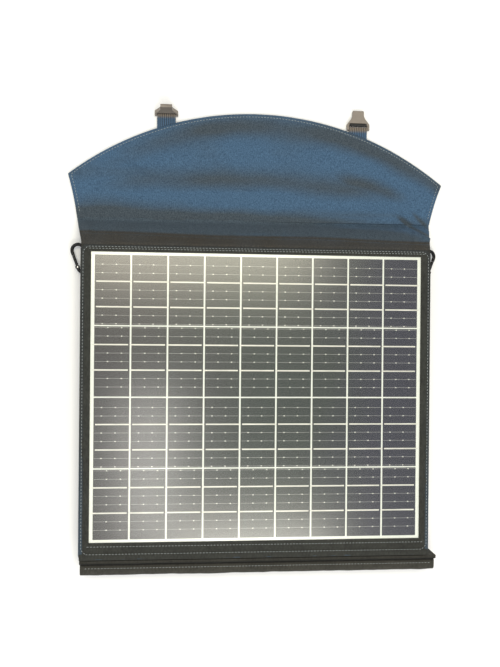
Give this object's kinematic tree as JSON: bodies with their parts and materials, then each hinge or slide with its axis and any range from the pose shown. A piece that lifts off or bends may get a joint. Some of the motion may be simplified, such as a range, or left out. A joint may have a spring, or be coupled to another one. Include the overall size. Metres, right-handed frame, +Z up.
{
  "type": "folding solar panel suitcase",
  "caption": "Folding fabric solar panel case: two cloth-framed cell laminates on a folding spine, with a charge controller, a buckled closing flap and hanging carabiners.",
  "frame": {"origin": "on the ground, under the centre of the two laminates, in the plane of the rear panel's face", "axes": "+X to the right, +Y towards the closing flap, +Z up from the rear panel to the sunny front face"},
  "size_m": [0.509, 0.6299, 0.044],
  "materials": {
    "blue_canvas": "woven polyester canvas, matt, blue with charcoal shade",
    "panel_cloth": "woven polyester canvas, matt, charcoal",
    "edge_tape": "ribbed binding tape, navy",
    "webbing": "ribbed polyester webbing, blue grey",
    "board": "grey fibre board",
    "foam": "closed-cell foam",
    "backsheet": "white laminate backsheet",
    "cell": "blue-black monocrystalline silicon",
    "ribbon": "tinned copper ribbon",
    "film": "clear front film with a fine matt embossing",
    "buckle_plastic": "moulded acetal, taupe grey",
    "black_plastic": "moulded ABS, fine spark texture",
    "box_seal": "silicone rubber",
    "brass": "plain brass",
    "screw_steel": "zinc-plated steel",
    "carabiner_black": "black anodised aluminium, glossy",
    "circuit_board": "green solder mask",
    "display": "grey-green liquid crystal",
    "clear_window": "clear acrylic",
    "terminal_green": "moulded nylon, green"
  },
  "bodies": {
    "front_panel": {"front_edge_binding": "edge_tape", "front_window_cloth": "panel_cloth", "front_stiffener_board": "board", "front_back_cloth": "panel_cloth", "front_backsheet": "backsheet", "front_film": "film", "front_cells": "cell", "front_ribbons": "ribbon", "front_junction_base": "black_plastic", "front_junction_gasket": "box_seal", "front_junction_lid": "black_plastic", "front_junction_screws": "screw_steel", "front_junction_terminals": "brass", "front_bypass_diode": "black_plastic", "front_cable_gland": "black_plastic", "controller_back_shell": "black_plastic", "controller_face_shell": "black_plastic", "controller_screws": "screw_steel", "controller_circuit_board": "circuit_board", "controller_display": "display", "display_window": "clear_window", "button_switches": "black_plastic", "terminal_blocks": "terminal_green", "terminal_screws": "screw_steel", "carabiner_loops": "webbing"},
    "spine": {"spine_cover": "panel_cloth", "spine_foam": "foam", "carry_handle_strap": "webbing", "carry_handle_sleeve": "box_seal"},
    "rear_panel": {"rear_edge_binding": "edge_tape", "rear_window_cloth": "panel_cloth", "rear_stiffener_board": "board", "rear_back_cloth": "panel_cloth", "rear_backsheet": "backsheet", "rear_film": "film", "rear_cells": "cell", "rear_ribbons": "ribbon", "rear_junction_base": "black_plastic", "rear_junction_gasket": "box_seal", "rear_junction_lid": "black_plastic", "rear_junction_screws": "screw_steel", "rear_junction_terminals": "brass", "rear_bypass_diode": "black_plastic", "rear_cable_gland": "black_plastic", "buckle_sockets": "buckle_plastic", "socket_straps": "webbing"},
    "gusset": {"flap_gusset": "blue_canvas"},
    "flap": {"closing_flap": "blue_canvas", "left_strap": "webbing", "right_strap": "webbing"},
    "left_buckle": {"left_buckle_plug": "buckle_plastic"},
    "right_buckle": {"right_buckle_plug": "buckle_plastic"},
    "left_carabiner": {"left_carabiner": "carabiner_black", "left_gate_pin": "screw_steel"},
    "right_carabiner": {"right_carabiner": "carabiner_black", "right_gate_pin": "screw_steel"},
    "left_carabiner_gate": {"left_gate": "carabiner_black"},
    "right_carabiner_gate": {"right_gate": "carabiner_black"},
    "menu_button": {"menu_button": "box_seal"},
    "set_button": {"set_button": "box_seal"}
  },
  "joints": [
    {"name": "spine_fold", "type": "hinge", "parent": "front_panel", "child": "spine", "pos_m": [0, -0.215, 0.041], "axis": [-1, 0, 0], "range_deg": [0, 175]},
    {"name": "rear_fold", "type": "hinge", "parent": "spine", "child": "rear_panel", "pos_m": [0, -0.215, 0.003], "axis": [-1, 0, 0], "range_deg": [0, 175]},
    {"name": "gusset_fold", "type": "hinge", "parent": "front_panel", "child": "gusset", "pos_m": [0, 0.2005, 0.041], "axis": [1, 0, 0], "range_deg": [0, 138.59]},
    {"name": "flap_fold", "type": "hinge", "parent": "gusset", "child": "flap", "pos_m": [0, 0.23489, 0.002], "axis": [1, 0, 0], "range_deg": [-45, 41.41]},
    {"name": "left_buckle_tilt", "type": "hinge", "parent": "flap", "child": "left_buckle", "pos_m": [-0.124, 0.38029, 0.0029], "axis": [-1, 0, 0], "range_deg": [-10, 78]},
    {"name": "right_buckle_tilt", "type": "hinge", "parent": "flap", "child": "right_buckle", "pos_m": [0.14, 0.36888, 0.0029], "axis": [-1, 0, 0], "range_deg": [-75, 0]},
    {"name": "left_carabiner_swing", "type": "hinge", "parent": "front_panel", "child": "left_carabiner", "pos_m": [-0.228, 0.185, 0.00995], "axis": [-0.342, 0.9397, 0], "range_deg": [0, 60]},
    {"name": "right_carabiner_swing", "type": "hinge", "parent": "front_panel", "child": "right_carabiner", "pos_m": [0.228, 0.185, 0.00995], "axis": [-0.342, -0.9397, 0], "range_deg": [0, 60]},
    {"name": "left_gate_spring", "type": "hinge", "parent": "left_carabiner", "child": "left_carabiner_gate", "pos_m": [-0.23979, 0.1706, 0.00995], "axis": [0, 0, -1], "range_deg": [0, 25], "stiffness_Nm_per_rad": 0.02, "springref_deg": -11.46},
    {"name": "right_gate_spring", "type": "hinge", "parent": "right_carabiner", "child": "right_carabiner_gate", "pos_m": [0.23979, 0.1706, 0.00995], "axis": [0, 0, 1], "range_deg": [0, 25], "stiffness_Nm_per_rad": 0.02, "springref_deg": -11.46},
    {"name": "menu_button_press", "type": "slide", "parent": "front_panel", "child": "menu_button", "axis": [0, 0, 1], "range_m": [0, 0.0012], "stiffness_N_per_m": 300, "springref_m": -0.0005},
    {"name": "set_button_press", "type": "slide", "parent": "front_panel", "child": "set_button", "axis": [0, 0, 1], "range_m": [0, 0.0012], "stiffness_N_per_m": 300, "springref_m": -0.0005}
  ],
  "couplings": [
    {"joint": "spine_fold", "follows": "rear_fold", "ratio": 1}
  ]
}
